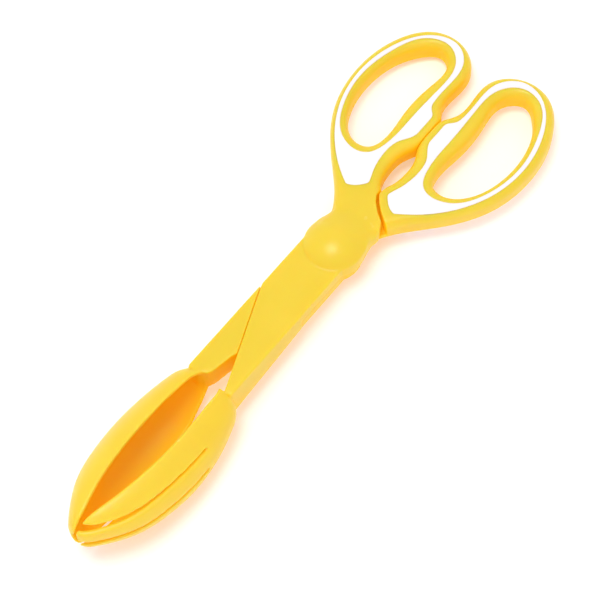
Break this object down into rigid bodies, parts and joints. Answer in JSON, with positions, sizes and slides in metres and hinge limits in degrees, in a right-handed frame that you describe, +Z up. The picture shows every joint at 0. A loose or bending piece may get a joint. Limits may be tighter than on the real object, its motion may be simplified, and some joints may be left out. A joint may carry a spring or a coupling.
{
  "type": "scissor-action salad tongs",
  "caption": "Scissor-action serving tongs: two crossed plastic levers on one pivot, with inlaid finger loops at one end and a spoon jaw and a fork jaw at the other.",
  "frame": {"origin": "under the middle of the tongs' overall length and width, at the height of their lowest point, drawn closed", "axes": "+X runs from the jaws to the finger loops, +Y is the side of the fork lever's finger loop and of the spoon jaw, +Z is up out of the flat of the loops, parallel to the pivot axis"},
  "size_m": [0.2818, 0.0944, 0.0328],
  "materials": {
    "yellow_plastic": "satin gloss, moulded",
    "white_plastic": "satin, slightly soft",
    "natural_plastic": "natural low-friction plastic",
    "steel": "zinc plated"
  },
  "bodies": {
    "spoon_half": {"spoon_lever": "yellow_plastic", "spoon_inlay_front": "white_plastic", "spoon_inlay_back": "white_plastic", "pivot_cover": "yellow_plastic"},
    "fork_half": {"fork_lever": "yellow_plastic", "fork_inlay_front": "white_plastic", "fork_inlay_back": "white_plastic", "pivot_bush": "natural_plastic", "pivot_screw": "steel", "pivot_washer": "natural_plastic"}
  },
  "joints": [
    {"name": "tongs_open", "type": "hinge", "parent": "spoon_half", "child": "fork_half", "pos_m": [0.0231, 0, 0.0208], "axis": [0, 0, 1], "range_deg": [0, 60]}
  ]
}
